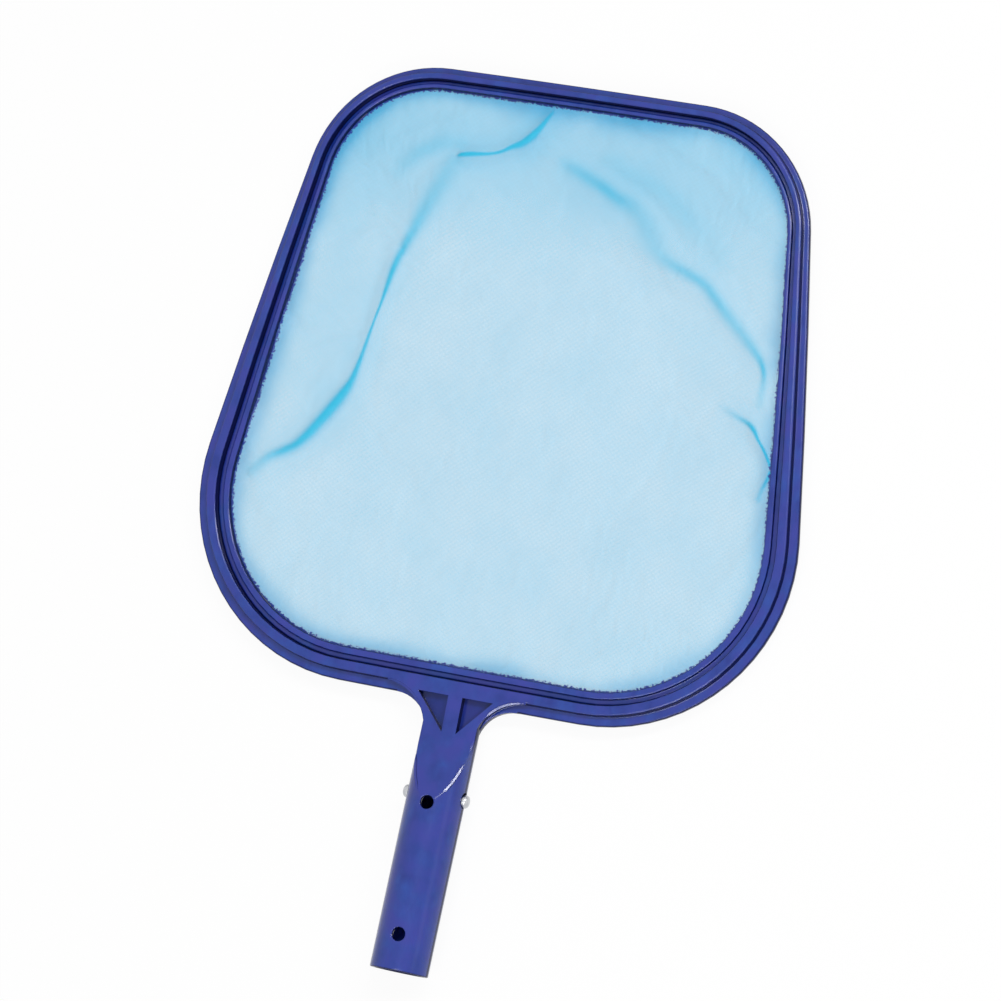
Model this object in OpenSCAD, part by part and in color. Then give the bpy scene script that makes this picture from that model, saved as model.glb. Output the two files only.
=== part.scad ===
// Leaf skimmer net: a flat hand net on a pole socket.
// The origin is the centre of the socket's open end. +Y runs towards the net, +X is to the
// right and +Z is the front, the side that meets the leaves. The rim lies parallel to XY.

/* [Net opening] */
// Corner radius of the opening at the far edge
far_corner_r = 53; // [42:0.5:62]
// Corner radius of the opening at the near edge
near_corner_r = 74.5; // [62:0.5:84]
// Distance between the centres of the two far corners
far_span = 130; // [110:1:160]
// Distance between the centres of the two near corners
near_span = 122; // [110:1:160]
// Distance from the near corner centres to the far ones
corner_pitch = 151; // [130:0.5:200]
// Radius of the far edge's bow
far_bow_r = 8000; // [3000:500:12000]
// Radius of each side's bow
side_bow_r = 4600; // [2000:100:8000]
// Radius of the near edge's bow
near_bow_r = 9000; // [5000:500:12000]

/* [Rim section, measured at the near edge] */
// Width of the clamp ring's raised lip
lip_w = 3.5; // [2.6:0.1:4.5]
// Width of the open groove between the lip and the ridge
groove_w = 2.5; // [1.5:0.1:3.5]
// Width of the main ridge
ridge_w = 5.8; // [4.5:0.1:8]
// Width of the low outer flange
flange_w = 4.6; // [3:0.1:7]
// How narrow the section is at the far edge, as a part of its width at the near edge
far_narrowing = 0.65; // [0.6:0.01:1]
// Height of the ridge, and of the whole rim
rim_h = 8; // [7.2:0.1:11]
// Height of the outer flange
flange_h = 3.8; // [3:0.1:5]
// Height of the seat that the net's border lies on
seat_h = 1.8; // [1.4:0.1:2.6]
// How much the ridge's walls lean, for the mould
ridge_draft = 0.3; // [0.1:0.05:0.6]
// Rounding of the ridge's top edges
ridge_r = 1.2; // [0.4:0.1:1.5]
// Rounding of the flange and the back
rim_edge_r = 1; // [0.3:0.1:1.3]

/* [Clamp ring] */
// Thickness of the ring's foot, which covers the groove
foot_t = 1.2; // [0.8:0.1:2]
// How far the lip's top lies below the ridge's top
lip_drop = 2.6; // [1:0.1:3]
// Rounding of the lip
lip_r = 0.9; // [0.3:0.1:1.1]
// Gap between the foot and the ridge
foot_gap = 0.15; // [0.1:0.05:0.4]

/* [Net] */
// Thickness of the cloth
net_t = 0.6; // [0.4:0.1:1]
// How far the net's border reaches under the clamp ring
net_tuck = 4.4; // [3:0.1:5]
// How far the net hangs below its border in the middle
net_sag = 5; // [1:0.5:6]
// Height of the main folds
fold_h = 2.2; // [0.5:0.1:3]
// Half width of the main folds
fold_w = 11; // [8:0.5:16]

/* [Socket] */
// Outer diameter of the socket, to slide into a pole
socket_d = 28.5; // [26:0.1:34]
// Thickness of the socket's wall
socket_wall = 2.6; // [2:0.1:3.2]
// Length of the socket and neck, from the open end to the rim
socket_l = 132.5; // [125:0.5:170]
// Depth of the socket's bore
bore_l = 93; // [91:0.5:100]
// How far the socket leans forward from the rim's plane, in degrees
socket_lean = 3.5; // [0:0.5:6]
// Chamfer at the mouth of the bore
bore_chamfer = 0.8; // [0.3:0.1:1.2]
// Length of the even part of the socket, from the open end
socket_even_l = 79; // [70:0.5:80]
// Diameter of the socket where it meets the neck
neck_d = 27.9; // [26:0.1:33]
// Lead-in round the open end
socket_lead = 0.4; // [0.2:0.05:0.5]
// Diameter of the holes in the front and back walls
cross_hole_d = 6.8; // [5:0.1:8]
// Distance from the open end to the first front hole
low_hole_y = 17.2; // [12:0.1:22]
// Distance from the open end to the second front hole
high_hole_y = 81.5; // [74:0.1:82]

/* [Neck] */
// Radius of the fillets between the rim's flange and the neck
neck_fillet_r = 18; // [14:0.5:20]
// Width of the neck's flat plate
neck_w = 25.4; // [22:0.1:26]
// Distance from the rim's outer edge to the foot of the ramps
ramp_start = 17; // [16.5:0.5:20]
// Length of the ramps that rise from the neck to the socket's full size
ramp_l = 24.5; // [22:0.5:27]
// Width of the rib between the two pockets
pocket_rib_w = 7.2; // [5:0.1:9]
// Width of each pocket at its wide end
pocket_w = 15.5; // [10:0.1:16]
// Length of each pocket
pocket_l = 17.8; // [12:0.1:18]
// Distance from the rim's outer edge to the pockets' wide ends, towards the net
pocket_inset = 2.4; // [1:0.1:3.5]
// Depth of the pockets
pocket_depth = 5; // [3:0.1:6]

/* [Spring clip] */
// Thickness of the clip's steel strip
strip_t = 0.9; // [0.6:0.05:1.1]
// Width of the strip
strip_w = 8; // [6:0.1:9]
// Radius of the clip's bend, to the middle of the strip
bend_r = 3.6; // [2.5:0.1:5]
// Distance from the open end to the centre of the bend
bend_y = 34; // [28:0.5:40]
// Distance from the open end to the buttons
button_y = 86; // [85.5:0.1:86.5]
// Length of each leg that lies along the wall, from its elbow to the button
leg_flat_l = 7; // [5:0.5:10]
// Distance from the middle of a button to the tip of its leg
leg_tip_l = 4.6; // [4:0.1:4.8]
// Gap between a leg and the wall of the bore
leg_gap = 0.3; // [0.2:0.05:0.6]
// Gap between the bend and each leg
bend_gap = 0.1; // [0.05:0.01:0.2]
// Diameter of the buttons
button_d = 6.6; // [5.5:0.1:7.5]
// Gap between a button and the edge of its hole
button_gap = 0.35; // [0.2:0.05:0.6]
// How far a button moves along its hole as it's pressed flush
button_shift = 0.6; // [0.4:0.1:1]
// How far the buttons stand out of the socket
button_out = 2.4; // [1.5:0.1:3.2]
// Rounding of the buttons
button_r = 2.1; // [0.8:0.1:2.8]
// Diameter of the shank that rivets a button to its leg
shank_d = 3; // [2:0.1:4]
// Gap between the shank and its hole in the strip
shank_gap = 0.05; // [0.03:0.01:0.1]
// Thickness of the rivet's head inside the leg
rivet_t = 0.8; // [0.5:0.1:1.2]
// Diameter of the rivet's head
rivet_d = 5; // [4:0.1:6]

/* [Hidden] */

plastic_blue = [0.19, 0.25, 0.56];
net_blue = [0.68, 0.85, 0.93];
steel = [0.72, 0.73, 0.75];
bright_steel = [0.85, 0.86, 0.88];

corner_steps = 18;      // facets round each corner of the rim
net_corner_steps = 9;   // the same for the net, which is softer
net_rings = 11;         // rings of facets from the net's edge to its middle
round_steps = 2;        // facets across each small rounding of the rim's section
round_fn = 96;
small_fn = 48;
cut = 1;                // how far a cut runs past the face that it opens

seat_w = lip_w + groove_w;
ridge_end = seat_w + ridge_w;
rim_w = ridge_end + flange_w;
clamp_z = seat_h + net_t;
lip_z = rim_h - lip_drop;

socket_r = socket_d / 2;
bore_r = socket_r - socket_wall;
rim_y = socket_l * cos(socket_lean);
rim_z = -socket_l * sin(socket_lean) - rim_h / 2;
button_hole_d = button_d + button_shift + 2 * button_gap;

// Where the net's main folds run, from the rim's outer edge at the neck
folds = [
    [[-120, 93], [-87, 144], [-76, 193], [-54, 260]],
    [[-52, 265], [-32, 269], [-11, 288]],
    [[4, 268], [45, 244], [91, 217], [124, 170]],
    [[110, 156], [131, 140]]
];

// ---- The rim's outline, seen from the front, from the middle of its near outer edge ----

near_c = [
    near_span / 2,
    rim_w + near_bow_r - sqrt(pow(near_bow_r - near_corner_r, 2) - pow(near_span / 2, 2))
];
far_c = [far_span / 2, near_c.y + corner_pitch];

function angle_of(v) = atan2(v.y, v.x);

function arc(c, r, a0, a1, n) =
    [for (i = [0:n - 1]) let (a = a0 + (a1 - a0) * i / n) c + r * [cos(a), sin(a)]];

// Centre of the circle of radius r that holds two smaller circles and touches both from inside
function holding_centre(c1, r1, c2, r2, r) =
    let (
        d = norm(c2 - c1),
        u = (c2 - c1) / d,
        p = r - r1,
        q = r - r2,
        along = (p * p - q * q + d * d) / (2 * d)
    )
    c1 + along * u + sqrt(p * p - along * along) * [-u.y, u.x];

// Half of the outline that lies o outside the net's opening, from the near edge to the far edge
function half_outline(o, steps) =
    let (
        near_r = near_corner_r + o,
        far_r = far_corner_r + o * far_narrowing,
        near_bow_c = [0, near_c.y + sqrt(pow(near_bow_r - near_corner_r, 2) - pow(near_c.x, 2))],
        far_bow_c = [0, far_c.y - sqrt(pow(far_bow_r - far_corner_r, 2) - pow(far_c.x, 2))],
        side_c = holding_centre(near_c, near_r, far_c, far_r, side_bow_r),
        a_near = angle_of(near_c - near_bow_c),
        a_low = angle_of(near_c - side_c),
        a_high = angle_of(far_c - side_c),
        a_far = angle_of(far_c - far_bow_c)
    )
    concat(
        arc(near_bow_c, near_bow_r + o, -90, a_near, ceil(steps / 4)),
        arc(near_c, near_r, a_near, a_low, steps),
        arc(side_c, side_bow_r, a_low, a_high, ceil(steps / 6)),
        arc(far_c, far_r, a_high, a_far, steps),
        arc(far_bow_c, far_bow_r + o * far_narrowing, a_far, 90, ceil(steps / 9)),
        [far_bow_c + [0, far_bow_r + o * far_narrowing]]
    );

function outline(o, steps) =
    let (half = half_outline(o, steps))
    concat(half, [for (i = [len(half) - 2:-1:1]) [-half[i].x, half[i].y]]);

// Faces of a tube of m rings of n points, closed into a loop
function loop_faces(m, n) = [
    for (j = [0:m - 1]) for (i = [0:n - 1])
    let (next = (i + 1) % n, up = (j + 1) % m)
    each [[j * n + i, up * n + next, j * n + next], [j * n + i, up * n + i, up * n + next]]
];

// A closed band round the opening. Each point of the section is [distance outside the opening, height].
module band(section) {
    rings = [for (p = section) outline(p.x, corner_steps)];
    polyhedron(
        points = [for (j = [0:len(section) - 1]) for (q = rings[j]) [q.x, q.y, section[j].y]],
        faces = loop_faces(len(section), len(rings[0]))
    );
}

// Points of a rounded corner of a section, from angle a0 to a1
function rounding(c, r, a0, a1) =
    [for (i = [0:round_steps]) let (a = a0 + (a1 - a0) * i / round_steps) c + r * [cos(a), sin(a)]];

// ---- Frame: rim, neck and socket in one moulding ----

module in_rim() {
    translate([0, rim_y, rim_z]) children();
}

module in_socket() {
    rotate([-socket_lean, 0, 0]) children();
}

module rim_band() {
    band(concat(
        rounding([rim_edge_r, rim_edge_r], rim_edge_r, 180, 270),
        rounding([rim_w - rim_edge_r, rim_edge_r], rim_edge_r, -90, 0),
        rounding([rim_w - rim_edge_r, flange_h - rim_edge_r], rim_edge_r, 0, 90),
        [[ridge_end, flange_h]],
        rounding([ridge_end - ridge_draft - ridge_r, rim_h - ridge_r], ridge_r, 0, 90),
        rounding([seat_w + ridge_draft + ridge_r, rim_h - ridge_r], ridge_r, 90, 180),
        [[seat_w, seat_h], [0, seat_h]]
    ));
}

// One level of the neck: a plate whose fillets run out along an edge of the rim, at edge_y
module neck_plate(edge_y, h) {
    r = neck_fillet_r + edge_y;
    reach = neck_w / 2 + r;
    linear_extrude(h) difference() {
        translate([-reach, -neck_fillet_r]) square([2 * reach, neck_fillet_r + flange_w + ridge_w / 2]);
        for (side = [-1, 1]) translate([side * reach, -neck_fillet_r]) circle(r = r, $fn = round_fn);
    }
}

// What the ramps leave out, in front of them and behind, a distance further in than their faces
module ramp_cut(inset) {
    reach = 3 * ramp_l;
    rise = socket_r - rim_h / 2;
    foot = [-ramp_start, rim_h / 2] - inset * [rise, ramp_l] / norm([rise, ramp_l]);
    head = foot + 3 * [-ramp_l, rise];
    translate([0, 0, rim_h / 2]) for (side = [0, 1]) mirror([0, 0, side])
        rotate([90, 0, 90]) translate([0, 0, -socket_d]) linear_extrude(2 * socket_d)
            polygon([foot, [reach, foot.y], [reach, head.y], head]);
}

// The socket's outside, from its open end to the rim
module socket_outside() {
    in_socket() rotate([-90, 0, 0]) {
        cylinder(r1 = socket_r - socket_lead, r2 = socket_r, h = socket_lead, $fn = round_fn);
        translate([0, 0, socket_lead]) cylinder(r = socket_r, h = socket_even_l - socket_lead, $fn = round_fn);
        translate([0, 0, socket_even_l])
            cylinder(r1 = socket_r, r2 = neck_d / 2, h = socket_l - socket_even_l, $fn = round_fn);
    }
}

module socket_bore() {
    difference() {
        in_socket() rotate([-90, 0, 0]) {
            translate([0, 0, -cut]) cylinder(r = bore_r, h = bore_l + cut, $fn = round_fn);
            translate([0, 0, -cut])
                cylinder(r1 = bore_r + bore_chamfer + cut, r2 = bore_r, h = bore_chamfer + cut, $fn = round_fn);
        }
        in_rim() ramp_cut(socket_wall);
    }
}

module cross_hole(y) {
    in_socket() translate([0, y, 0]) cylinder(d = cross_hole_d, h = socket_d + 2 * cut, center = true, $fn = small_fn);
}

module button_holes() {
    in_socket() translate([0, button_y + button_shift / 2, 0]) rotate([0, 90, 0])
        cylinder(d = button_hole_d, h = socket_d + 2 * cut, center = true, $fn = small_fn);
}

module pockets() {
    translate([0, 0, rim_h - pocket_depth]) linear_extrude(pocket_depth + cut) for (side = [-1, 1]) polygon([
        [side * pocket_rib_w / 2, pocket_inset],
        [side * (pocket_rib_w / 2 + pocket_w), pocket_inset],
        [side * pocket_rib_w / 2, pocket_inset - pocket_l]
    ]);
}

module frame() {
    color(plastic_blue) difference() {
        union() {
            in_rim() rim_band();
            in_rim() neck_plate(0, flange_h);
            in_rim() neck_plate(flange_w, rim_h);
            difference() {
                socket_outside();
                in_rim() ramp_cut(0);
            }
        }
        socket_bore();
        cross_hole(low_hole_y);
        cross_hole(high_hole_y);
        button_holes();
        in_rim() pockets();
    }
}

// ---- Clamp ring: its lip stands round the net's edge and its foot covers the groove ----

module clamp_ring() {
    foot_end = seat_w - foot_gap;
    color(plastic_blue) in_rim() band(concat(
        [[0, clamp_z], [foot_end, clamp_z], [foot_end, clamp_z + foot_t], [lip_w, clamp_z + foot_t]],
        rounding([lip_w - lip_r, lip_z - lip_r], lip_r, 0, 90),
        rounding([lip_r, lip_z - lip_r], lip_r, 90, 180)
    ));
}

// ---- Net ----

// Distance from p to the stretch from a to b
function to_stretch(p, a, b) =
    let (u = b - a, t = max(0, min(1, (p - a) * u / (u * u))))
    norm(p - a - t * u);

function fold_at(p) =
    let (d = min([for (f = folds) for (i = [0:len(f) - 2]) to_stretch(p, f[i], f[i + 1])]))
    fold_h * exp(-pow(d / fold_w, 2));

// Height of the cloth's lower face, at a share s of the way from its middle to the rim
function cloth_z(p, s) = seat_h - net_sag * (1 - s * s) + fold_at(p) * (1 - pow(s, 4));

module net() {
    middle = [0, (near_c.y + far_c.y) / 2];
    edge = outline(net_tuck, net_corner_steps);
    mouth = outline(0, net_corner_steps);
    n = len(edge);
    shares = [for (k = [net_rings - 1:-1:1]) k / (net_rings - 1)];
    lower = concat(
        [for (p = edge) [p.x, p.y, seat_h]],
        [for (s = shares) for (q = mouth) let (p = middle + s * (q - middle)) [p.x, p.y, cloth_z(p, s)]]
    );
    upper = [for (p = lower) p + [0, 0, net_t]];
    rings = len(shares) + 1;
    total = rings * n;
    bottom_mid = 2 * total;
    mid_z = cloth_z(middle, 0);
    color(net_blue) in_rim() polyhedron(
        points = concat(lower, upper, [[middle.x, middle.y, mid_z], [middle.x, middle.y, mid_z + net_t]]),
        faces = concat(
            [for (j = [0:rings - 2]) for (i = [0:n - 1]) let (a = j * n + i, b = j * n + (i + 1) % n)
                each [[a, b + n, b], [a, a + n, b + n], [total + a, total + b, total + b + n],
                    [total + a, total + b + n, total + a + n]]],
            [for (i = [0:n - 1]) let (a = (rings - 1) * n + i, b = (rings - 1) * n + (i + 1) % n)
                each [[a, bottom_mid, b], [total + a, total + b, bottom_mid + 1]]],
            [for (i = [0:n - 1]) let (b = (i + 1) % n) each [[i, b, total + b], [i, total + b, total + i]]]
        )
    );
}

// ---- Spring clip: a bent strip whose two legs each carry a button ----

// A leg lies with its two long edges near the bore's wall
leg_x = sqrt(pow(bore_r - leg_gap, 2) - pow(strip_w / 2, 2)) - strip_t / 2;
elbow_y = button_y - leg_flat_l;
// The leg leaves the bend along the line from the bend to the elbow, square to the bend's radius
elbow = [leg_x, elbow_y - bend_y];
leg_angle = angle_of(elbow) - acos(bend_r / norm(elbow));
leg_root = bend_r * [cos(leg_angle), sin(leg_angle)];
leg_l = norm(elbow - leg_root);
leg_lean = -leg_angle;
button_base = leg_x + strip_t / 2;

// On the socket's axis at the bend, with the strip's width along Z
module at_bend() {
    in_socket() translate([0, bend_y, 0]) children();
}

module clip_bend() {
    sweep = 180 + 2 * leg_angle;
    color(steel) at_bend() translate([0, 0, -strip_w / 2]) rotate([0, 0, 180 - leg_angle])
        rotate_extrude(angle = sweep, $fn = small_fn)
            translate([bend_r - strip_t / 2, 0]) square([strip_t, strip_w]);
}

module clip_leg(side) {
    half = strip_t / 2;
    along = [sin(leg_lean), cos(leg_lean)];
    across = [along.y, -along.x];
    start = leg_root + bend_gap * along;
    // the elbow's mitre, half way between the two directions
    mitre = half * tan(leg_lean / 2);
    color(steel) at_bend() mirror([side < 0 ? 1 : 0, 0, 0]) difference() {
        translate([0, 0, -strip_w / 2]) linear_extrude(strip_w) polygon([
            start - half * across,
            start + half * across,
            elbow + [half, -mitre],
            [leg_x + half, button_y - bend_y + leg_tip_l],
            [leg_x - half, button_y - bend_y + leg_tip_l],
            elbow + [-half, mitre]
        ]);
        translate([leg_x, button_y - bend_y, 0]) rotate([0, 90, 0])
            cylinder(d = shank_d + 2 * shank_gap, h = strip_t + 2 * cut, center = true, $fn = small_fn);
    }
}

module button(side) {
    head_l = socket_r + button_out - button_base;
    head_r = button_d / 2;
    // turned about the X axis: the rivet's head, the shank through the strip and the button's rounded head
    color(bright_steel) in_socket() translate([0, button_y, 0]) mirror([side < 0 ? 1 : 0, 0, 0])
        translate([button_base, 0, 0]) rotate([0, 90, 0]) rotate_extrude($fn = small_fn) difference() {
            union() {
                translate([0, -strip_t - rivet_t]) square([rivet_d / 2, rivet_t]);
                translate([0, -strip_t]) square([shank_d / 2, strip_t]);
                square([head_r, head_l - button_r]);
                translate([0, head_l - button_r]) square([head_r - button_r, button_r]);
                intersection() {
                    translate([head_r - button_r, head_l - button_r]) circle(r = button_r, $fn = small_fn);
                    translate([head_r - button_r, head_l - button_r]) square(button_r);
                }
            }
            translate([-socket_d, -socket_d]) square([socket_d, 3 * socket_d]);
        }
}

frame();
clamp_ring();
net();
clip_bend();
clip_leg(-1);  // clip_leg_left
clip_leg(1);  // clip_leg_right
button(-1);  // button_left
button(1);  // button_right
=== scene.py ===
import math
import bpy
import bmesh
import numpy as np
from mathutils import Matrix, Vector, noise


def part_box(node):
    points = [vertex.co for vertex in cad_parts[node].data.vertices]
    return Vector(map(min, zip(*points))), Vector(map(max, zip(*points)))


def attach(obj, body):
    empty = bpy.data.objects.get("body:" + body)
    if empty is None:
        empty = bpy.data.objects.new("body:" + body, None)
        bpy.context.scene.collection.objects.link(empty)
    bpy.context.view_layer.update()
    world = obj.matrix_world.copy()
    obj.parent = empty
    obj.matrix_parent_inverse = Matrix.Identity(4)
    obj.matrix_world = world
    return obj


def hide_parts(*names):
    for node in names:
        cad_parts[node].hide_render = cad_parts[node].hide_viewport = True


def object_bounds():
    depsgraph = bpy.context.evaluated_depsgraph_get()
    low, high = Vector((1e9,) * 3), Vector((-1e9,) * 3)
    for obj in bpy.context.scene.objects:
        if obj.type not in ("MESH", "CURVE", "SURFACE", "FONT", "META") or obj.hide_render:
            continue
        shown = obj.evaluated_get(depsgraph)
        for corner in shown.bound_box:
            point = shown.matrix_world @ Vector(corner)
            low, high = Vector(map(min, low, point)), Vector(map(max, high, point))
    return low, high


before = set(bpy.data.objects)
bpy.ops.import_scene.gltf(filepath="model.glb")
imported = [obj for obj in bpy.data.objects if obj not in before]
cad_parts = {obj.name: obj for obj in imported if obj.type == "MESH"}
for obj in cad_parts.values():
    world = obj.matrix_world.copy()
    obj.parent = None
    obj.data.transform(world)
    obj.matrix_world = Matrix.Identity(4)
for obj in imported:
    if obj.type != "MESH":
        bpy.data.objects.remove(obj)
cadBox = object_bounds()
scene = bpy.context.scene
print("skimmer: frame loaded")

# The rim's outline is measured from the middle of its near outer edge, in millimetres
rimOrigin = Vector((0.0, 0.1322529, -0.0120890))

cameraLook = {
    "place": (0.62005, 0.06758, 2.07438),
    "lens": 161.84,
    "turn": 16.528,  # degrees round the net's long axis
    "tip": 4.330,
    "roll": 11.109,
}

lightLook = {
    "sky": 0.4, "horizon": 0.03,  # grey of the world overhead and at its edge
    "fade": (0.15, 0.8),  # heights between which the one turns into the other
    # each lamp: watts, size in metres, the way it stands, the way its long side runs, distance
    "lamps": {
        "glint": (14.0, (1.15, 0.12), (0.45, 0.453, 0.77), (0.878, 0.017, -0.479), 2.0),
        "low": (10.0, (1.3, 0.11), (0.07, -0.55, 0.80), (0.85, 0.48, 0.23), 2.2),
        "side": (0.5, (1.2, 0.45), (0.93, 0.04, 0.36), (0, 1, 0), 1.6),
        "front": (9.0, (0.8, 0.6), (0.1, -0.32, 0.94), (1, 0, 0), 2.2),
        "far": (9.0, (0.8, 0.6), (0.16, 0.38, 0.91), (1, 0, 0), 2.2),
    },
}


def makeCamera(look):
    turn, tip, roll = (math.radians(look[k]) for k in ("turn", "tip", "roll"))
    right = Vector((math.cos(turn), 0, -math.sin(turn)))
    back = Vector((math.sin(turn) * math.cos(tip), -math.sin(tip), math.cos(turn) * math.cos(tip)))
    up = back.cross(right)
    c, s = math.cos(roll), math.sin(roll)
    rows = Matrix((c * right + s * up, -s * right + c * up, back))
    data = bpy.data.cameras.new("photoCamera")
    data.lens, data.sensor_width = look["lens"], 36
    data.clip_end = 20
    cam = bpy.data.objects.new("photoCamera", data)
    cam.matrix_world = Matrix.Translation(look["place"]) @ rows.transposed().to_4x4()
    scene.collection.objects.link(cam)
    scene.camera = cam


def makeSoftbox(name, power, size, stands, along, far, target):
    data = bpy.data.lights.new(name, "AREA")
    data.shape, data.size, data.size_y = "RECTANGLE", size[0], size[1]
    data.energy = power
    lamp = bpy.data.objects.new(name, data)
    back = Vector(stands).normalized()
    across = Vector(along)
    across = (across - across.dot(back) * back).normalized()
    lamp.matrix_world = Matrix((across, back.cross(across), back)).transposed().to_4x4()
    lamp.location = target + far * back
    scene.collection.objects.link(lamp)


def fromHex(code):  # sRGB hex to linear
    parts = [int(code[i:i + 2], 16) / 255 for i in (0, 2, 4)]
    return tuple(c / 12.92 if c <= 0.04045 else ((c + 0.055) / 1.055) ** 2.4 for c in parts) + (1,)


def perMm(size):  # texture scale for a feature of that many millimetres
    return 1000 / size


def addNode(tree, kind, settings=None, links=None):
    node = tree.nodes.new(kind)
    for name, value in (settings or {}).items():
        if isinstance(name, int) or name in node.inputs:
            node.inputs[name].default_value = value
        else:
            setattr(node, name, value)
    for name, source in (links or {}).items():
        tree.links.new(source, node.inputs[name])
    return node


def newMaterial(name):
    material = bpy.data.materials.new(name)
    material.use_nodes = True
    material.node_tree.nodes.clear()
    return material, material.node_tree


def seesBackdrop(tree):  # 1 for the rays that see the plain white backdrop, in glass and gloss too
    path = addNode(tree, "ShaderNodeLightPath")
    seen = addNode(tree, "ShaderNodeMath", {"operation": "MAXIMUM"}, {
        0: path.outputs["Is Camera Ray"], 1: path.outputs["Is Transmission Ray"]})
    return addNode(tree, "ShaderNodeMath", {"operation": "MAXIMUM"}, {
        0: seen.outputs[0], 1: path.outputs["Is Glossy Ray"]}).outputs[0]


def makeWorld(look):  # soft overhead light that fades towards the horizon
    world = bpy.data.worlds.new("studio")
    world.use_nodes = True
    tree = world.node_tree
    up = addNode(tree, "ShaderNodeSeparateXYZ", {}, {
        "Vector": addNode(tree, "ShaderNodeTexCoord").outputs["Generated"]})
    grey = addNode(tree, "ShaderNodeMapRange", {
        "interpolation_type": "SMOOTHSTEP", "From Min": look["fade"][0], "From Max": look["fade"][1],
        "To Min": look["horizon"], "To Max": look["sky"]}, {"Value": up.outputs["Z"]})
    level = addNode(tree, "ShaderNodeMath", {"operation": "MAXIMUM"}, {0: grey.outputs[0], 1: seesBackdrop(tree)})
    tree.links.new(level.outputs[0], tree.nodes["Background"].inputs["Strength"])
    tree.nodes["Background"].inputs["Color"].default_value = (1, 1, 1, 1)
    scene.world = world


makeCamera(cameraLook)
makeWorld(lightLook)
neck = rimOrigin - Vector((0, 0.03, 0))
for name, (power, size, stands, along, far) in lightLook["lamps"].items():
    makeSoftbox(name + "Light", power, size, stands, along, far, neck)
scene.view_settings.view_transform = "Standard"
print("skimmer: camera and light set")

floorLook = {
    "size": 12.0, "gap": 0.0006, "fibreMm": 3, "paper": "f0f0f0",
    "clear": 0.93,  # share of plain backdrop white, the rest is paper and keeps the shadow
}


def makeFloor(look):  # matt white paper, which shows almost no texture
    material, tree = newMaterial("whitePaper")
    fibres = addNode(tree, "ShaderNodeTexNoise", {"Scale": perMm(look["fibreMm"]), "Detail": 3}, {
        "Vector": addNode(tree, "ShaderNodeTexCoord").outputs["Object"]})
    bump = addNode(tree, "ShaderNodeBump", {"Strength": 0.02, "Distance": 0.0002}, {"Height": fibres.outputs["Fac"]})
    matt = addNode(tree, "ShaderNodeBsdfDiffuse", {"Color": fromHex(look["paper"])}, {
        "Normal": bump.outputs["Normal"]})
    glow = addNode(tree, "ShaderNodeEmission", {"Color": (1, 1, 1, 1), "Strength": 1.0})
    share = addNode(tree, "ShaderNodeMath", {"operation": "MULTIPLY", 1: look["clear"]}, {0: seesBackdrop(tree)})
    mix = addNode(tree, "ShaderNodeMixShader", {}, {
        "Fac": share.outputs[0], 1: matt.outputs[0], 2: glow.outputs[0]})
    addNode(tree, "ShaderNodeOutputMaterial", {}, {"Surface": mix.outputs[0]})
    bm = bmesh.new()
    bmesh.ops.create_grid(bm, x_segments=1, y_segments=1, size=look["size"] / 2)
    bmesh.ops.translate(bm, verts=bm.verts, vec=(0, 0, cadBox[0].z - look["gap"]))
    mesh = bpy.data.meshes.new("floor")
    bm.to_mesh(mesh)
    bm.free()
    mesh.materials.append(material)
    floor = bpy.data.objects.new("floor", mesh)
    scene.collection.objects.link(floor)


makeFloor(floorLook)
print("skimmer: floor laid")

plasticLook = {
    "deep": "112b84", "bright": "1d439c", "violet": "293594", "paintedShade": "0c1240",
    "gloss": 0.13, "dull": 0.22,
    "cloudMm": 22, "grainMm": 0.5, "flowMm": 6, "tintMm": 14, "roundEdge": 0.001,
    "paintedShadeMost": 0.92,            # share of the painted shade colour in the darkest place
    "level": 0.5, "dullLevel": 0.05,  # specular level in the open and where shade is painted
    "flank": (0.9, 0.45),         # how upright a face is where its painted shade starts and is full
    "barrel": (0.2, 0.04),        # the same on the round socket
    "mouth": (-0.2, -0.6),        # and how far a face turns to the socket's open end
}
placeLook = {
    # shares of painted shade on a groove's foot, a pocket's floor and the outline's walls
    "groovePaintedShade": 0.2, "pocketPaintedShade": 0.42, "outlinePaintedShade": 0.95,
    "outlineRound": 0.8, "pocketRound": 0.1,  # shares of roundEdge
}
steelLook = {"pale": "c9cbd0", "dark": "8f9298", "gloss": 0.2, "dull": 0.42, "lineMm": 0.15, "stainMm": 4}
buttonLook = {"pale": "dcdde0", "dark": "a9abb0", "gloss": 0.12, "dull": 0.3, "lineMm": 0.3, "stainMm": 4}


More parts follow.
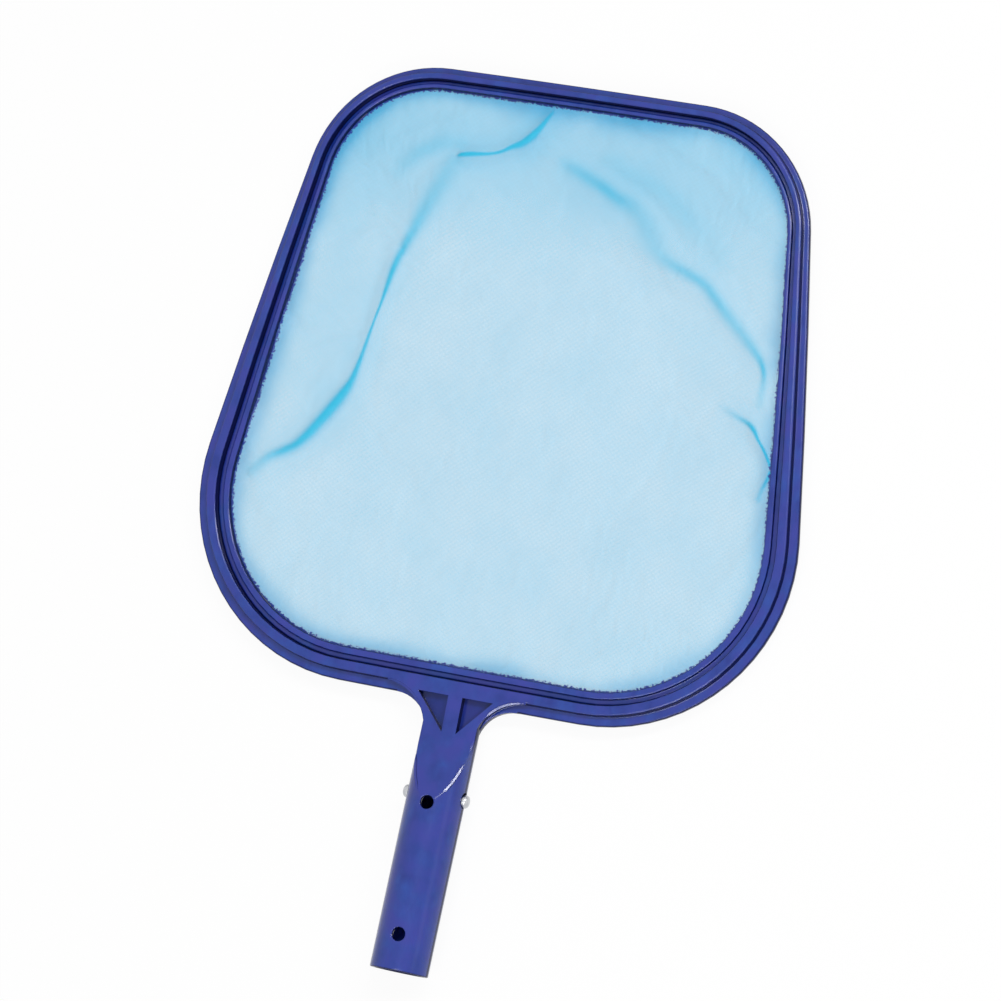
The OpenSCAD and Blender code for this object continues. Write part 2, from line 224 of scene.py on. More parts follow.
def makePlastic(look):  # glossy injection-moulded polypropylene
    material, tree = newMaterial("mouldedPolypropylene")
    where = addNode(tree, "ShaderNodeTexCoord").outputs["Object"]
    cloud = addNode(tree, "ShaderNodeTexNoise", {
        "Scale": perMm(look["cloudMm"]), "Detail": 4, "Roughness": 0.6}, {"Vector": where})
    drawn = addNode(tree, "ShaderNodeMapping", {"Scale": (1, 0.5, 1)}, {"Vector": where})
    flow = addNode(tree, "ShaderNodeTexNoise", {
        "Scale": perMm(look["flowMm"]), "Detail": 5, "Distortion": 0.4}, {"Vector": drawn.outputs[0]})
    grain = addNode(tree, "ShaderNodeTexNoise", {"Scale": perMm(look["grainMm"]), "Detail": 2}, {"Vector": where})
    blend = addNode(tree, "ShaderNodeMath", {"operation": "MULTIPLY"}, {0: cloud.outputs["Fac"], 1: flow.outputs["Fac"]})
    share = addNode(tree, "ShaderNodeMapRange", {"From Min": 0.12, "From Max": 0.4}, {"Value": blend.outputs[0]})
    tint = addNode(tree, "ShaderNodeTexNoise", {"Scale": perMm(look["tintMm"]), "Detail": 3}, {"Vector": where})
    tint = addNode(tree, "ShaderNodeMapRange", {"From Min": 0.4, "From Max": 0.65}, {"Value": tint.outputs["Fac"]})
    colour = addNode(tree, "ShaderNodeMix", {
        "data_type": "RGBA", 6: fromHex(look["deep"]), 7: fromHex(look["bright"])}, {"Factor": share.outputs[0]})
    colour = addNode(tree, "ShaderNodeMix", {"data_type": "RGBA", 7: fromHex(look["violet"])}, {
        "Factor": tint.outputs[0], 6: colour.outputs[2]})
    rough = addNode(tree, "ShaderNodeMapRange", {"To Min": look["gloss"], "To Max": look["dull"]}, {
        "Value": flow.outputs["Fac"]})
    radius = addNode(tree, "ShaderNodeMath", {"operation": "MULTIPLY", 1: look["roundEdge"]}, {
        0: addNode(tree, "ShaderNodeAttribute", {"attribute_name": "rounding"}).outputs["Fac"]})
    rounded = addNode(tree, "ShaderNodeBevel", {"samples": 8}, {"Radius": radius.outputs[0]})
    # painted shade: walls, edges and the foot of a groove are darkened towards the shade colour, with a lower specular
    # level, by how upright a face stands, standing in for the shade they lie in
    lean = addNode(tree, "ShaderNodeSeparateXYZ", {}, {"Vector": rounded.outputs[0]})
    upright = addNode(tree, "ShaderNodeMath", {"operation": "ABSOLUTE"}, {0: lean.outputs["Z"]}).outputs[0]
    paintedShades = {}
    for part, turn in (("flank", upright), ("barrel", upright), ("mouth", lean.outputs["Y"])):
        paintedShades[part] = addNode(tree, "ShaderNodeMapRange", {
            "interpolation_type": "SMOOTHSTEP", "From Min": look[part][0], "From Max": look[part][1]}, {
            "Value": turn}).outputs[0]
    barrel = addNode(tree, "ShaderNodeMath", {"operation": "MAXIMUM"}, {0: paintedShades["barrel"], 1: paintedShades["mouth"]})
    turned = addNode(tree, "ShaderNodeAttribute", {"attribute_name": "turned"}).outputs["Fac"]
    # deep: the painted shade marked on grooves, pockets and the outline's walls
    deep = addNode(tree, "ShaderNodeAttribute", {"attribute_name": "deep"}).outputs["Fac"]
    paintedShade = addNode(tree, "ShaderNodeMix", {}, {"Factor": turned, 2: paintedShades["flank"], 3: barrel.outputs[0]})
    paintedShade = addNode(tree, "ShaderNodeMath", {"operation": "MAXIMUM"}, {0: paintedShade.outputs[0], 1: deep})
    paintedShade = addNode(tree, "ShaderNodeMath", {"operation": "MULTIPLY", 1: look["paintedShadeMost"]}, {0: paintedShade.outputs[0]})
    # the painted shade colour is mixed in where walls, edges and recesses lie in shade
    colour = addNode(tree, "ShaderNodeMix", {"data_type": "RGBA", 7: fromHex(look["paintedShade"])}, {
        "Factor": paintedShade.outputs[0], 6: colour.outputs[2]})
    level = addNode(tree, "ShaderNodeMapRange", {"To Min": look["level"], "To Max": look["dullLevel"]}, {
        "Value": paintedShade.outputs[0]})
    bump = addNode(tree, "ShaderNodeBump", {"Strength": 0.1, "Distance": 0.00005}, {
        "Height": grain.outputs["Fac"], "Normal": rounded.outputs[0]})
    skin = addNode(tree, "ShaderNodeBsdfPrincipled", {"IOR": 1.49}, {
        "Base Color": colour.outputs[2], "Roughness": rough.outputs[0], "Specular IOR Level": level.outputs[0],
        "Normal": bump.outputs["Normal"]})
    addNode(tree, "ShaderNodeOutputMaterial", {}, {"Surface": skin.outputs[0]})
    return material


def makeMetal(name, look, stretch):  # strip or turned steel, with fine lines along one way
    material, tree = newMaterial(name)
    where = addNode(tree, "ShaderNodeTexCoord").outputs["Object"]
    drawn = addNode(tree, "ShaderNodeMapping", {"Scale": stretch}, {"Vector": where})
    lines = addNode(tree, "ShaderNodeTexNoise", {"Scale": perMm(look["lineMm"]), "Detail": 3}, {
        "Vector": drawn.outputs[0]})
    stain = addNode(tree, "ShaderNodeTexNoise", {"Scale": perMm(look["stainMm"]), "Detail": 4}, {"Vector": where})
    colour = addNode(tree, "ShaderNodeMix", {
        "data_type": "RGBA", 6: fromHex(look["pale"]), 7: fromHex(look["dark"])}, {"Factor": stain.outputs["Fac"]})
    rough = addNode(tree, "ShaderNodeMapRange", {"To Min": look["gloss"], "To Max": look["dull"]}, {
        "Value": lines.outputs["Fac"]})
    bump = addNode(tree, "ShaderNodeBump", {"Strength": 0.15, "Distance": 0.00002}, {"Height": lines.outputs["Fac"]})
    skin = addNode(tree, "ShaderNodeBsdfPrincipled", {"Metallic": 1.0}, {
        "Base Color": colour.outputs[2], "Roughness": rough.outputs[0], "Normal": bump.outputs["Normal"]})
    addNode(tree, "ShaderNodeOutputMaterial", {}, {"Surface": skin.outputs[0]})
    return material


plastic = makePlastic(plasticLook)
springSteel = makeMetal("springSteel", steelLook, (1, 0.04, 1))
buttonSteel = makeMetal("turnedSteel", buttonLook, (0.05, 1, 1))
print("skimmer: plastic and steel mixed")

frameShell = {"body": "skimmer", "slot": "frame_plastic", "material": plastic, "edge": 0.0, "moulded": True}
clipShell = {"slot": "spring_steel", "material": springSteel, "edge": 0.00015, "sharp": 40}
buttonShell = {"slot": "button_metal", "material": buttonSteel, "edge": 0.0, "sharp": 50}
shellLook = {
    "frame": {**frameShell, "sharp": 48},
    "clamp_ring": {**frameShell, "sharp": 60},
    "clip_bend": {**clipShell, "body": "skimmer"},
    "clip_leg_left": {**clipShell, "body": "left_leg"},
    "clip_leg_right": {**clipShell, "body": "right_leg"},
    "button_left": {**buttonShell, "body": "left_leg"},
    "button_right": {**buttonShell, "body": "right_leg"},
}


def addPiece(bm, name, look, replaced=None):
    mesh = bpy.data.meshes.new(name)
    bm.to_mesh(mesh)
    bm.free()
    mesh.materials.append(look["material"])
    piece = bpy.data.objects.new(name, mesh)
    scene.collection.objects.link(piece)
    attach(piece, look["body"])
    if replaced:
        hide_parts(replaced)
    return piece


def applyModifiers(piece):
    bpy.context.view_layer.update()
    shaped = bpy.data.meshes.new_from_object(piece.evaluated_get(bpy.context.evaluated_depsgraph_get()))
    piece.modifiers.clear()
    piece.data = shaped


# The socket's axis, from its open end, and its radii in metres
socketLean = math.radians(3.5)
socketWay = Vector((0, math.cos(socketLean), -math.sin(socketLean)))
socketRadii = {"outside": 0.01425, "neck": 0.01395, "bore": 0.01165, "evenLength": 0.079, "length": 0.1325}


def roundSocket(mesh, normals):  # true round normals on the socket's long facets
    co = np.array([v.co for v in mesh.vertices])
    way = np.array(socketWay)
    along = co @ way
    radial = co - along[:, None] * way
    reach = np.linalg.norm(radial, axis=1)
    radial /= np.maximum(reach, 1e-9)[:, None]
    taper = np.clip((along - socketRadii["evenLength"]) / (socketRadii["length"] - socketRadii["evenLength"]), 0, 1)
    outside = socketRadii["outside"] + taper * (socketRadii["neck"] - socketRadii["outside"])
    for polygon in mesh.polygons:
        ids = np.array(polygon.vertices)
        face = np.array(polygon.normal)
        for radius, sign in ((outside[ids], 1), (socketRadii["bore"], -1)):
            if np.all(np.abs(reach[ids] - radius) < 5e-5) and np.all(sign * (radial[ids] @ face) > 0.99):
                for loop, vertex in zip(polygon.loop_indices, ids):
                    normals[loop] = sign * radial[vertex]


def markPlaces(mesh):  # where the socket is turned, and the painted shade on a groove's foot and a pocket's floor
    turned, deep = np.zeros(len(mesh.loops), np.float32), np.zeros(len(mesh.loops), np.float32)
    for polygon in mesh.polygons:
        middle = (polygon.center - rimOrigin) * 1000
        onBarrel = abs(polygon.normal.z) < 0.9 and abs(polygon.center.x) < 0.0137
        onSocket = middle.y < -19 or (middle.y < 0 and onBarrel)
        turned[list(polygon.loop_indices)] = onSocket
        if polygon.normal.z > 0.9 and not onSocket:
            groove = mesh.name.startswith("clamp") and 3.2 < middle.z < 4.2
            pocket = abs(middle.x) < 30 and middle.y < 9 and 2.4 < middle.z < 3.6
            deep[list(polygon.loop_indices)] = placeLook["groovePaintedShade"] * groove + placeLook["pocketPaintedShade"] * pocket
    # how large each edge is rounded, and the painted dark shade on the walls along the outline
    level = {v for polygon in mesh.polygons if polygon.normal.z > 0.996 for v in polygon.vertices}
    rounding = np.ones(len(mesh.vertices), np.float32)
    centre = Vector((0, 0.272, 0))  # the net's middle
    for polygon in mesh.polygons:
        ids = list(polygon.vertices)
        height = [(mesh.vertices[v].co.z - rimOrigin.z) * 1000 for v in ids]
        outward = polygon.normal.xy.dot((polygon.center - centre).xy) > 0
        onRim = mesh.name.startswith("frame") and polygon.center.y > 0.1
        if onRim and outward and abs(polygon.normal.z) < 0.996 and max(height) < 3.9:
            for loop, v in zip(polygon.loop_indices, ids):
                deep[loop] = 0.0 if v in level else placeLook["outlinePaintedShade"]
            rounding[ids] = placeLook["outlineRound"]
        nearNeck = polygon.center.y < 0.142 and abs(polygon.center.x) < 0.016
        if nearNeck and max(height) > 7 and 2.5 < min(height) < 3.5:
            rounding[ids] = placeLook["pocketRound"]
    marks = (("turned", "CORNER", turned), ("deep", "CORNER", deep), ("rounding", "POINT", rounding))
    for name, domain, values in marks:
        mesh.attributes.new(name, "FLOAT", domain).data.foreach_set("value", values)


# Corner normals from the faces within a limit angle, each flat weighing as much as its whole area
def regionNormals(mesh, limit):
    normals = np.array([p.normal for p in mesh.polygons])
    areas = np.array([p.area for p in mesh.polygons])
    flat = list(range(len(normals)))

    def root(k):
        while flat[k] != k:
            flat[k] = flat[flat[k]]
            k = flat[k]
        return k

    edgeFaces, around = {}, {}
    for p in mesh.polygons:
        for key in p.edge_keys:
            edgeFaces.setdefault(key, []).append(p.index)
        for v in p.vertices:
            around.setdefault(v, []).append(p.index)
    for pair in edgeFaces.values():
        if len(pair) == 2 and normals[pair[0]] @ normals[pair[1]] > math.cos(math.radians(0.5)):
            flat[root(pair[0])] = root(pair[1])
    roots = np.array([root(k) for k in range(len(flat))])
    total = np.bincount(roots, weights=areas, minlength=len(flat))
    out = np.zeros((len(mesh.loops), 3))
    cosLimit = math.cos(math.radians(limit))
    for p in mesh.polygons:
        for loop, v in zip(p.loop_indices, p.vertices):
            near = {roots[k]: k for k in around[v] if normals[k] @ normals[p.index] > cosLimit}
            mixed = sum(total[r] * normals[k] for r, k in near.items())
            out[loop] = mixed / np.linalg.norm(mixed)
    return out


def smoothShell(nodeName, look):
    bm = bmesh.new()
    bm.from_mesh(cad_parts[nodeName].data)
    bmesh.ops.remove_doubles(bm, verts=bm.verts, dist=2e-6)
    if not look.get("moulded"):
        bmesh.ops.dissolve_limit(bm, angle_limit=math.radians(0.4), verts=bm.verts, edges=bm.edges)
    for face in bm.faces:
        face.smooth = True
        face.material_index = 0
    limit = math.radians(look["sharp"])
    for edge in bm.edges:
        edge.smooth = len(edge.link_faces) == 2 and edge.calc_face_angle() < limit
    piece = addPiece(bm, nodeName + "_skin", look, nodeName)
    if look["edge"]:
        bevel = piece.modifiers.new("edges", "BEVEL")
        bevel.width, bevel.segments, bevel.limit_method = look["edge"], 2, "ANGLE"
        bevel.angle_limit, bevel.use_clamp_overlap = limit, False
        bevel.harden_normals = True
    applyModifiers(piece)
    if look.get("moulded"):
        normals = regionNormals(piece.data, 24)
        roundSocket(piece.data, normals)
        piece.data.normals_split_custom_set([tuple(n) for n in normals])
        markPlaces(piece.data)
    return piece


for nodeName, look in shellLook.items():
    smoothShell(nodeName, look)
print("skimmer: moulded and metal pieces dressed")

beadLook = {
    "width": 0.0011, "foot": 0.0017, "rise": 0.00008, "depth": 0.0005,  # a small rounded moulding edge
    "ramp": (26, 60),         # degrees round the socket from its top
    "rampSlope": 22.7, "rampEnd": (0.115253, -0.004089),
    "plateArc": (0.0356, 0.1143, 0.0226, 91, 146), "plateTop": -0.004089, "plateTilt": 22,
}


def rampEdge(look, steps=28):
    lean, slope = socketLean, math.radians(look["rampSlope"])
    up = Vector((0, math.sin(lean), math.cos(lean)))
    flat = Vector((0, math.sin(slope), math.cos(slope)))
    offset = flat.dot(Vector((0, *look["rampEnd"])))
    for k in range(steps + 1):
        turn = math.radians(look["ramp"][0] + (look["ramp"][1] - look["ramp"][0]) * k / steps)
        out = math.sin(turn) * Vector((1, 0, 0)) + math.cos(turn) * up
        spot = 0.0142 * out
        spot += (offset - flat.dot(spot)) / flat.dot(socketWay) * socketWay
        yield spot, (out + flat).normalized()


def plateEdge(look, steps=28):
    x, y, radius, start, end = look["plateArc"]
    tilt = math.radians(look["plateTilt"])
    for k in range(steps + 1):
        turn = math.radians(start + (end - start) * k / steps)
        way = Vector((math.cos(turn), math.sin(turn), 0))
        spot = Vector((x, y, look["plateTop"])) + (radius + 0.0003) * way
        yield spot, (-math.sin(tilt) * way + Vector((0, 0, math.cos(tilt)))).normalized()


def makeBeads(look, material):
    bm = bmesh.new()
    for path in (list(rampEdge(look)), list(plateEdge(look))):
        for side in (1, -1):
            rings = []
            for k, (spot, out) in enumerate(path):
                ahead = (path[min(k + 1, len(path) - 1)][0] - path[max(k - 1, 0)][0]).normalized()
                across = ahead.cross(out).normalized()
                thin = min(1.0, 0.25 + 0.18 * min(k, len(path) - 1 - k))
                ring = []
                for wide, rise in ((-look["foot"], -look["depth"]), (-look["width"], look["rise"]),
                                   (look["width"], look["rise"]), (look["foot"], -look["depth"])):
                    place = spot + across * (wide * thin / 2) + out * rise
                    ring.append(bm.verts.new((side * place.x, place.y, place.z)))
                rings.append(ring)
            for a, b in zip(rings, rings[1:]):
                for m in range(4):
                    bm.faces.new((a[m], a[(m + 1) % 4], b[(m + 1) % 4], b[m]))
            bm.faces.new(rings[0])
            bm.faces.new(rings[-1])
    bmesh.ops.recalc_face_normals(bm, faces=bm.faces)
    for face in bm.faces:
        face.smooth = True
    for edge in bm.edges:
        edge.smooth = edge.calc_face_angle() < math.radians(25)
    rounding = bm.verts.layers.float.new("rounding")
    for v in bm.verts:
        v[rounding] = 0.1
    return addPiece(bm, "neck_edge_beads", {"body": "skimmer", "slot": "frame_plastic", "material": material}, "frame")


makeBeads(beadLook, plastic)
print("skimmer: neck edges rounded")

netLook = {
    "squares": (92, 92),      # across and along
    "heldWidth": 0.0044,      # border under the clamp ring
    "sag": 0.0052,
    "spare": 0.006,           # spare length, as a share
    "frames": 22,
    # the shade thread colour and the edge cover paint the rim's shade onto the cloth near it
    "thread": "31afd8", "deepThread": "22b4d8", "rimShadeThread": "379fcd", "hemThread": "1a3a90",
    "cover": 0.49, "farCover": 0.16, "rimShadeCover": 0.3,
    "threadMm": 0.62,         # coarser than the real weave, so that it shows
    "cloudMm": 26, "hemMm": 1.1, "toothMm": 1.3, "lightLineMm": 0.9,
    "spanMm": 320,            # width of cloth that one unit of its own coordinates covers
    "foldRise": 0.0022, "crestRise": 0.0006,
}
# Main folds of the cloth: x, y from the rim's near edge, half width (all mm) and strength
folds = {
    "longLeft": [
        (-127, 93, 3.4, 0.25), (-120, 102, 2.4, 0.5), (-113, 106, 2.7, 0.75), (-105, 112, 2.7, 0.9),
        (-94, 130, 2.7, 1.0), (-89, 139, 2.7, 1.0), (-86, 146, 1.9, 0.9), (-84, 157, 1.1, 0.8),
        (-81, 177, 0.6, 0.8), (-79, 187, 0.7, 0.85), (-77, 202, 1.7, 0.85), (-75, 211, 1.9, 0.75),
        (-72, 219, 2.7, 0.65), (-69, 227, 3.4, 0.55), (-66, 236, 4.4, 0.42), (-62, 246, 5.3, 0.32),
        (-55, 262, 4.9, 0.2),
    ],
    "farMiddle": [
        (-54, 264, 0.9, 0.7), (-50, 265, 1.1, 1.0), (-44, 266, 0.9, 0.9), (-38, 267, 0.7, 0.7),
        (-32, 269, 0.7, 0.75), (-28, 272, 1.0, 0.85), (-23, 274, 1.5, 0.95), (-19, 278, 1.6, 0.95),
        (-15, 283, 1.3, 0.85), (-10, 292, 0.6, 0.3),
    ],
    "farArc": [
        (-83, 251, 4.9, 0.12), (-78, 258, 4.4, 0.2), (-71, 265, 4.4, 0.24), (-63, 269, 4.4, 0.2),
        (-54, 270, 4.4, 0.1),
    ],
    "longRight": [
        (-2, 269, 2.9, 0.1), (5, 266, 3.4, 0.3), (13, 263, 3.4, 0.35), (22, 259, 3.4, 0.47),
        (29, 255, 3.4, 0.42), (36, 253, 4.4, 0.3), (43, 248, 5.3, 0.24), (49, 239, 6.8, 0.25),
        (56, 230, 4.4, 0.3), (65, 226, 2.9, 0.45), (74, 223, 2.9, 0.5), (82, 219, 2.9, 0.52),
        (87, 214, 2.9, 0.55), (100, 202, 3.4, 0.45), (109, 194, 2.9, 0.5), (115, 188, 1.9, 0.6),
        (118, 183, 1.4, 0.7), (119, 178, 1.7, 0.45), (119, 166, 2.4, 0.2),
    ],
    "rightTuck": [
        (100, 163, 2.4, 0.1), (109, 159, 1.5, 0.35), (115, 157, 1.3, 0.7), (119, 154, 1.3, 0.95),
        (122, 149, 0.7, 0.8), (125, 146, 0.7, 0.75), (131, 137, 0.6, 0.75),
    ],
    "rightReturn": [
        (131, 136, 0.6, 0.8), (130, 131, 0.9, 0.6), (128, 127, 1.2, 0.35), (127, 121, 1.5, 0.25),
    ],
    "farRightHaze": [
        (20, 273, 4.9, 0.1), (39, 265, 5.8, 0.14), (56, 258, 6.8, 0.15), (85, 235, 7.8, 0.12),
    ],
}


def roundedLine(points, rounds=3):  # corner cutting, so that a fold runs in a curve
    points = np.array(points, float)
    for _ in range(rounds):
        a, b = points[:-1], points[1:]
        cut = np.stack([0.75 * a + 0.25 * b, 0.25 * a + 0.75 * b], 1).reshape(-1, 4)
        points = np.vstack([points[:1], cut, points[-1:]])
    return points


# Signed distance to a fold's line, with its half width and strength there
def besideFold(places, line):
    best = np.full(len(places), 1e9)
    signed, width, strength = np.zeros(len(places)), np.ones(len(places)), np.zeros(len(places))
    last = len(line) - 2
    for k, (a, b) in enumerate(zip(line[:-1], line[1:])):
        step = b[:2] - a[:2]
        length = max(np.hypot(*step), 1e-6)
        rel = places - a[:2]
        raw = rel @ step / length ** 2
        t = np.clip(raw, 0, 1)
        gap = np.linalg.norm(rel - t[:, None] * step, axis=1)
        side = np.sign(step[0] * rel[:, 1] - step[1] * rel[:, 0])
        past = np.maximum(-raw if k == 0 else 0, raw - 1 if k == last else 0) * length
        wide = a[2] + t * (b[2] - a[2])
        nearer = gap < best
        best = np.where(nearer, gap, best)
        signed = np.where(nearer, side * gap, signed)
        width = np.where(nearer, wide, width)
        fade = np.exp(-(np.maximum(past, 0) / wide) ** 2)
        strength = np.where(nearer, (a[3] + t * (b[3] - a[3])) * fade, strength)
    return np.clip(signed, -20, 20), width, strength


foldLines = {name: roundedLine(points) for name, points in folds.items()}


def inRimMm(co):
    return (co[:, :2] - np.array(rimOrigin)[:2]) * 1000


def borderReach():
    co = np.array([v.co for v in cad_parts["net"].data.vertices])
    rim = co[co[:, 2] > co[:, 2].max() - 1e-5]
    low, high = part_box("net")
    centre = np.array([(low.x + high.x) / 2, (low.y + high.y) / 2])
    angle = np.arctan2(rim[:, 1] - centre[1], rim[:, 0] - centre[0])
    order = np.argsort(angle)
    return centre, angle[order], np.hypot(*(rim[order, :2] - centre).T), float(rim[:, 2].max()) - 0.0003


def lipReach(centre):  # distance from the net's middle to the clamp ring's inner face, by angle
    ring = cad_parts["clamp_ring"].data
    co = np.array([v.co for v in ring.vertices])[:, :2] - centre
    ends = co[np.array([e.vertices for e in ring.edges])]
    start, step = ends[:, 0], ends[:, 1] - ends[:, 0]
    angles, inner = np.linspace(-math.pi, math.pi, 721), []
    for angle in angles:
        ray = np.array([math.cos(angle), math.sin(angle)])
        cross = ray[0] * step[:, 1] - ray[1] * step[:, 0]
        cross[np.abs(cross) < 1e-12] = np.nan
        far = (start[:, 0] * step[:, 1] - start[:, 1] * step[:, 0]) / cross
        along = (start[:, 0] * ray[1] - start[:, 1] * ray[0]) / cross
        inner.append(far[(along >= 0) & (along <= 1) & (far > 0.02)].min())
    return angles, np.array(inner)


def makeNetSheet(look):
    centre, angles, reach, seat = borderReach()
    bm = bmesh.new()
    bmesh.ops.create_grid(bm, x_segments=look["squares"][0], y_segments=look["squares"][1], size=1.0)
    held = []
    for v in bm.verts:
        share = max(abs(v.co.x), abs(v.co.y))
        angle = math.atan2(v.co.y, v.co.x)
        far = float(np.interp(angle, angles, reach, period=2 * math.pi))
        v.co = Vector((centre[0] + far * share * math.cos(angle), centre[1] + far * share * math.sin(angle), seat))
        held.append(1.0 if far * (1 - share) < look["heldWidth"] else 0.0)
    look["centre"] = centre
    area = sum(f.calc_area() for f in bm.faces)
    return bm, held, area


def foldHeight(places):
    height = np.zeros(len(places))
    for line in foldLines.values():
        signed, width, strength = besideFold(places, line)
        height = np.maximum(height, strength * np.exp(-(signed / (3.2 + 1.5 * width)) ** 2))
    return height


def settleCloth(piece, held, look):
    group = piece.vertex_groups.new(name="held")
    for i, weight in enumerate(held):
        group.add([i], weight, "REPLACE")
    settle = piece.modifiers.new("settle", "CLOTH")
    cloth = settle.settings
    cloth.quality = 6
    cloth.mass = 0.0004
    cloth.tension_stiffness = cloth.compression_stiffness = 12
    cloth.shear_stiffness = 4
    cloth.bending_stiffness = 0.02
    cloth.air_damping = 4
    cloth.shrink_min = -look["spare"]
    cloth.vertex_group_mass = "held"
    settle.collision_settings.use_collision = False
    settle.collision_settings.use_self_collision = False
    settle.point_cache.frame_start, settle.point_cache.frame_end = 1, look["frames"]
    for step in range(1, look["frames"] + 1):
        scene.frame_set(step)
    applyModifiers(piece)
    scene.frame_set(1)


def insideLip(co, centre):  # how far each point lies inside the clamp ring's inner face, in mm
    angles, inner = lipReach(centre)
    rel = co[:, :2] - centre
    return (np.interp(np.arctan2(rel[:, 1], rel[:, 0]), angles, inner) - np.hypot(*rel.T)) * 1000


def makeNet(look, material):
    bm, held, area = makeNetSheet(look)
    co = np.array([v.co for v in bm.verts])
    share = np.clip(1 - np.hypot(*(co[:, :2] - look["centre"]).T) / 0.14, 0, 1)
    rise = foldHeight(inRimMm(co))
    for v, up, low, fixed in zip(bm.verts, rise, share, held):
        if not fixed:
            v.co.z += look["foldRise"] * up - look["sag"] * min(1.0, 2.2 * low) * 0.8
    for face in bm.faces:
        face.smooth = True
    piece = addPiece(bm, "net_cloth", {"body": "skimmer", "slot": "net_mesh", "material": material}, "net")
    settleCloth(piece, held, look)
    bm = bmesh.new()
    bm.from_mesh(piece.data)
    bmesh.ops.subdivide_edges(bm, edges=bm.edges[:], cuts=1, use_grid_fill=True)
    co = np.array([v.co for v in bm.verts])
    places = inRimMm(co)
    beside = {name: besideFold(places, line) for name, line in foldLines.items()}
    crest, soft = np.zeros(len(co)), np.zeros(len(co))
    for signed, width, strength in beside.values():
        crest = np.maximum(crest, strength * np.exp(-(signed / np.maximum(width, 1.2)) ** 2))
        soft = np.maximum(soft, strength * np.exp(-(signed / (7 + 2 * width)) ** 2))
    for v, fold in zip(bm.verts, crest):
        v.co.z += look["crestRise"] * fold
    inside = insideLip(co, look["centre"])
    far = np.clip((places[:, 1] - 205) / 75, 0, 1)
    left = np.clip((-72 - places[:, 0]) / 30, 0, 1) * np.clip((places[:, 1] - 120) / 40, 0, 1)
    waver = np.array([
        noise.noise(Vector((*xy, 0)) / 38) + 0.3 * noise.noise(Vector((*xy, 9)) / 12) for xy in places])
    leftward = np.clip((40 - places[:, 0]) / 140, 0, 1)
    # painted shade: the cloth near the rim is darker and more covered, standing in for the rim's shadow on it
    border = np.exp(-(np.maximum(inside, 0) / (6.2 + 3.2 * waver)) ** 2)
    border *= np.clip(0.75 + 0.35 * leftward + 0.5 * waver, 0.3, 1)
    cover = look["cover"] + look["farCover"] * far * far * (3 - 2 * far)
    cover = cover + 0.07 * left + look["rimShadeCover"] * border + 0.1 * soft
    uv, span = bm.loops.layers.uv.new("cut"), look["spanMm"] / 1000
    for face in bm.faces:
        face.smooth = True
        for loop in face.loops:
            loop[uv].uv = (loop.vert.co.x / span + 0.5, (loop.vert.co.y - rimOrigin.y) / span)
    mesh = bpy.data.meshes.new("net_cloth")
    bm.to_mesh(mesh)
    bm.free()
    mesh.materials.append(material)
    for name, values in {"cover": cover, "inside": inside, "border": border}.items():
        mesh.attributes.new(name, "FLOAT", "POINT").data.foreach_set("value", values.astype(np.float32))
    for name, values in beside.items():
        packed = np.stack(values, 1).astype(np.float32).ravel()
        mesh.attributes.new(name, "FLOAT_VECTOR", "POINT").data.foreach_set("vector", packed)
    piece.data = mesh
    low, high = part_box("net")
    print("skimmer: net of", len(mesh.polygons), "faces, flat area", round(area, 5))
    return piece


def addFoldLine(tree, name):  # strength of a fold's crease, from the distance to its line
    parts = addNode(tree, "ShaderNodeSeparateXYZ", {}, {
        "Vector": addNode(tree, "ShaderNodeAttribute", {"attribute_name": name}).outputs["Vector"]})
    ratio = addNode(tree, "ShaderNodeMath", {"operation": "DIVIDE"}, {0: parts.outputs["X"], 1: parts.outputs["Y"]})
    square = addNode(tree, "ShaderNodeMath", {"operation": "MULTIPLY"}, {0: ratio.outputs[0], 1: ratio.outputs[0]})
    power = addNode(tree, "ShaderNodeMath", {"operation": "MULTIPLY", 1: -1.0}, {0: square.outputs[0]})
    bell = addNode(tree, "ShaderNodeMath", {"operation": "EXPONENT"}, {0: power.outputs[0]})
    return addNode(tree, "ShaderNodeMath", {"operation": "MULTIPLY"}, {
        0: bell.outputs[0], 1: parts.outputs["Z"]}).outputs[0]


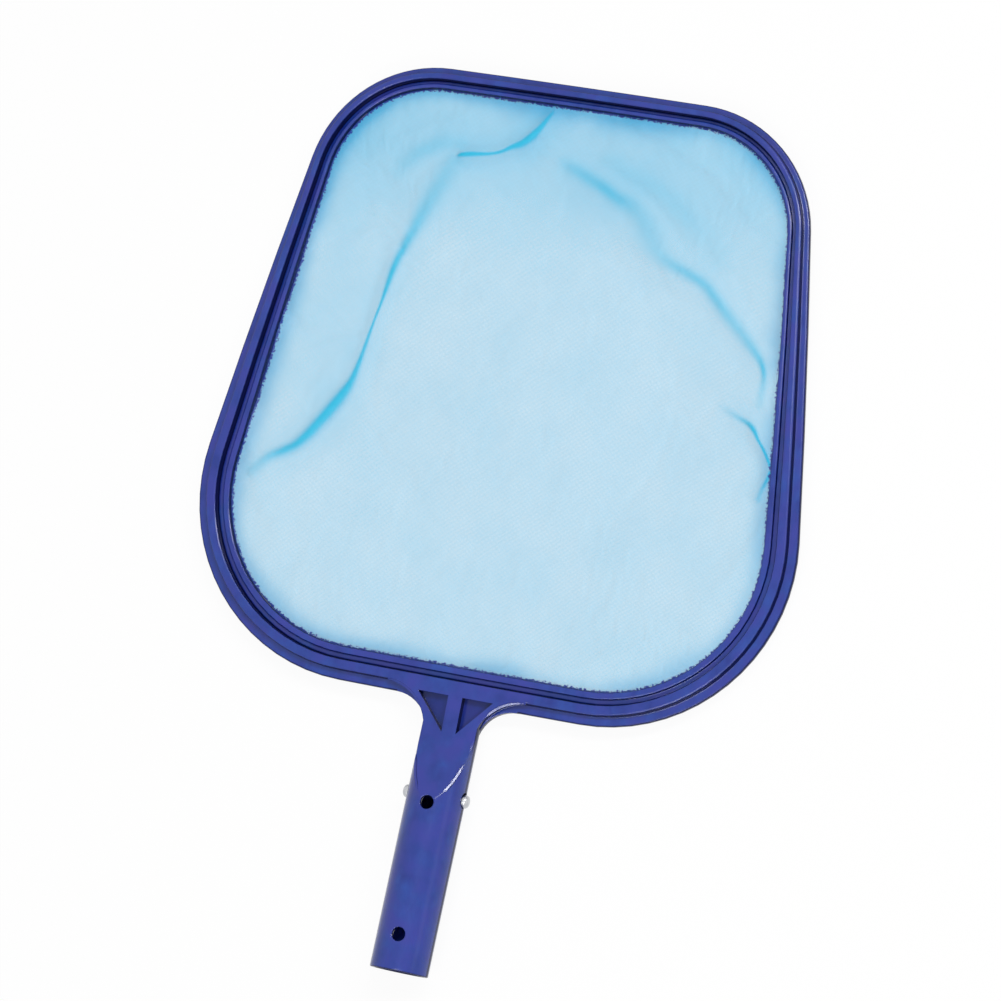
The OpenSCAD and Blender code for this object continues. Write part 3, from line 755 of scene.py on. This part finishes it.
def makeMeshCloth(look):  # fine woven nylon mesh: threads with open holes between them
    material, tree = newMaterial("wovenNylonMesh")
    where = addNode(tree, "ShaderNodeUVMap", {"uv_map": "cut"}).outputs["UV"]
    wavesPerUnit = 0.314 * look["spanMm"] / look["threadMm"]  # a wave repeats every 0.314 / scale
    bands = {"wave_type": "BANDS", "Scale": wavesPerUnit, "Distortion": 0.6, "Detail": 1, "Detail Scale": 0.3}
    warp = addNode(tree, "ShaderNodeTexWave", {**bands, "bands_direction": "X"}, {"Vector": where})
    weft = addNode(tree, "ShaderNodeTexWave", {**bands, "bands_direction": "Y"}, {"Vector": where})
    knit = addNode(tree, "ShaderNodeMath", {"operation": "MAXIMUM"}, {0: warp.outputs["Fac"], 1: weft.outputs["Fac"]})
    cloud = addNode(tree, "ShaderNodeTexNoise", {
        "Scale": look["spanMm"] / look["cloudMm"], "Detail": 3}, {"Vector": where})
    inside = addNode(tree, "ShaderNodeAttribute", {"attribute_name": "inside"}).outputs["Fac"]
    border = addNode(tree, "ShaderNodeAttribute", {"attribute_name": "border"}).outputs["Fac"]
    base = addNode(tree, "ShaderNodeAttribute", {"attribute_name": "cover"}).outputs["Fac"]
    gather = addFoldLine(tree, "longLeft")
    for name in list(folds)[1:]:
        gather = addNode(tree, "ShaderNodeMath", {"operation": "MAXIMUM"}, {
            0: gather, 1: addFoldLine(tree, name)}).outputs[0]
    haze = addNode(tree, "ShaderNodeMapRange", {
        "From Min": 0.3, "From Max": 0.7, "To Min": -0.025, "To Max": 0.025}, {"Value": cloud.outputs["Fac"]})
    threads = addNode(tree, "ShaderNodeMapRange", {"To Min": -0.16, "To Max": 0.08}, {"Value": knit.outputs[0]})
    cover = addNode(tree, "ShaderNodeMath", {"operation": "ADD"}, {0: haze.outputs[0], 1: threads.outputs[0]})
    cover = addNode(tree, "ShaderNodeMath", {"operation": "ADD"}, {0: cover.outputs[0], 1: base})
    cover = addNode(tree, "ShaderNodeMath", {"operation": "MULTIPLY_ADD", 1: 0.5}, {0: gather, 2: cover.outputs[0]})
    # the cut ends of the threads, where they turn down inside the lip
    tooth = addNode(tree, "ShaderNodeTexNoise", {
        "Scale": look["spanMm"] / look["toothMm"], "Detail": 2, "Roughness": 0.7}, {"Vector": where})
    ragged = addNode(tree, "ShaderNodeMapRange", {
        "From Min": 0.35, "From Max": 0.65, "To Min": 0.15 * look["hemMm"], "To Max": 1.6 * look["hemMm"]}, {
        "Value": tooth.outputs["Fac"]})
    ahead = addNode(tree, "ShaderNodeMath", {"operation": "SUBTRACT"}, {0: ragged.outputs[0], 1: inside})
    hem = addNode(tree, "ShaderNodeMapRange", {"From Min": -0.1, "From Max": 0.1}, {"Value": ahead.outputs[0]})
    # a painted line of light where the cloth leaves its cut threads, drawn as thinner cover
    paintedLightLine = addNode(tree, "ShaderNodeMapRange", {"From Min": 0, "From Max": -look["lightLineMm"], "To Min": -0.04, "To Max": 0}, {
        "Value": ahead.outputs[0]})
    cover = addNode(tree, "ShaderNodeMath", {"operation": "ADD"}, {0: cover.outputs[0], 1: paintedLightLine.outputs[0]})
    cover = addNode(tree, "ShaderNodeMath", {"operation": "MAXIMUM", "use_clamp": True}, {
        0: cover.outputs[0], 1: hem.outputs[0]})
    # painted shade near the rim: the thread turns a darker blue there
    colour = addNode(tree, "ShaderNodeMix", {
        "data_type": "RGBA", 6: fromHex(look["thread"]), 7: fromHex(look["rimShadeThread"])}, {"Factor": border})
    for thread, share in (("deepThread", gather), ("hemThread", hem.outputs[0])):
        colour = addNode(tree, "ShaderNodeMix", {"data_type": "RGBA", 7: fromHex(look[thread])}, {
            "Factor": share, 6: colour.outputs[2]})
    bump = addNode(tree, "ShaderNodeBump", {"Strength": 0.3, "Distance": 0.0001}, {"Height": knit.outputs[0]})
    skin = addNode(tree, "ShaderNodeBsdfPrincipled", {"Roughness": 0.55, "IOR": 1.45, "Sheen Weight": 0.05}, {
        "Base Color": colour.outputs[2], "Alpha": cover.outputs[0], "Normal": bump.outputs["Normal"]})
    addNode(tree, "ShaderNodeOutputMaterial", {}, {"Surface": skin.outputs[0]})
    return material


makeNet(netLook, makeMeshCloth(netLook))
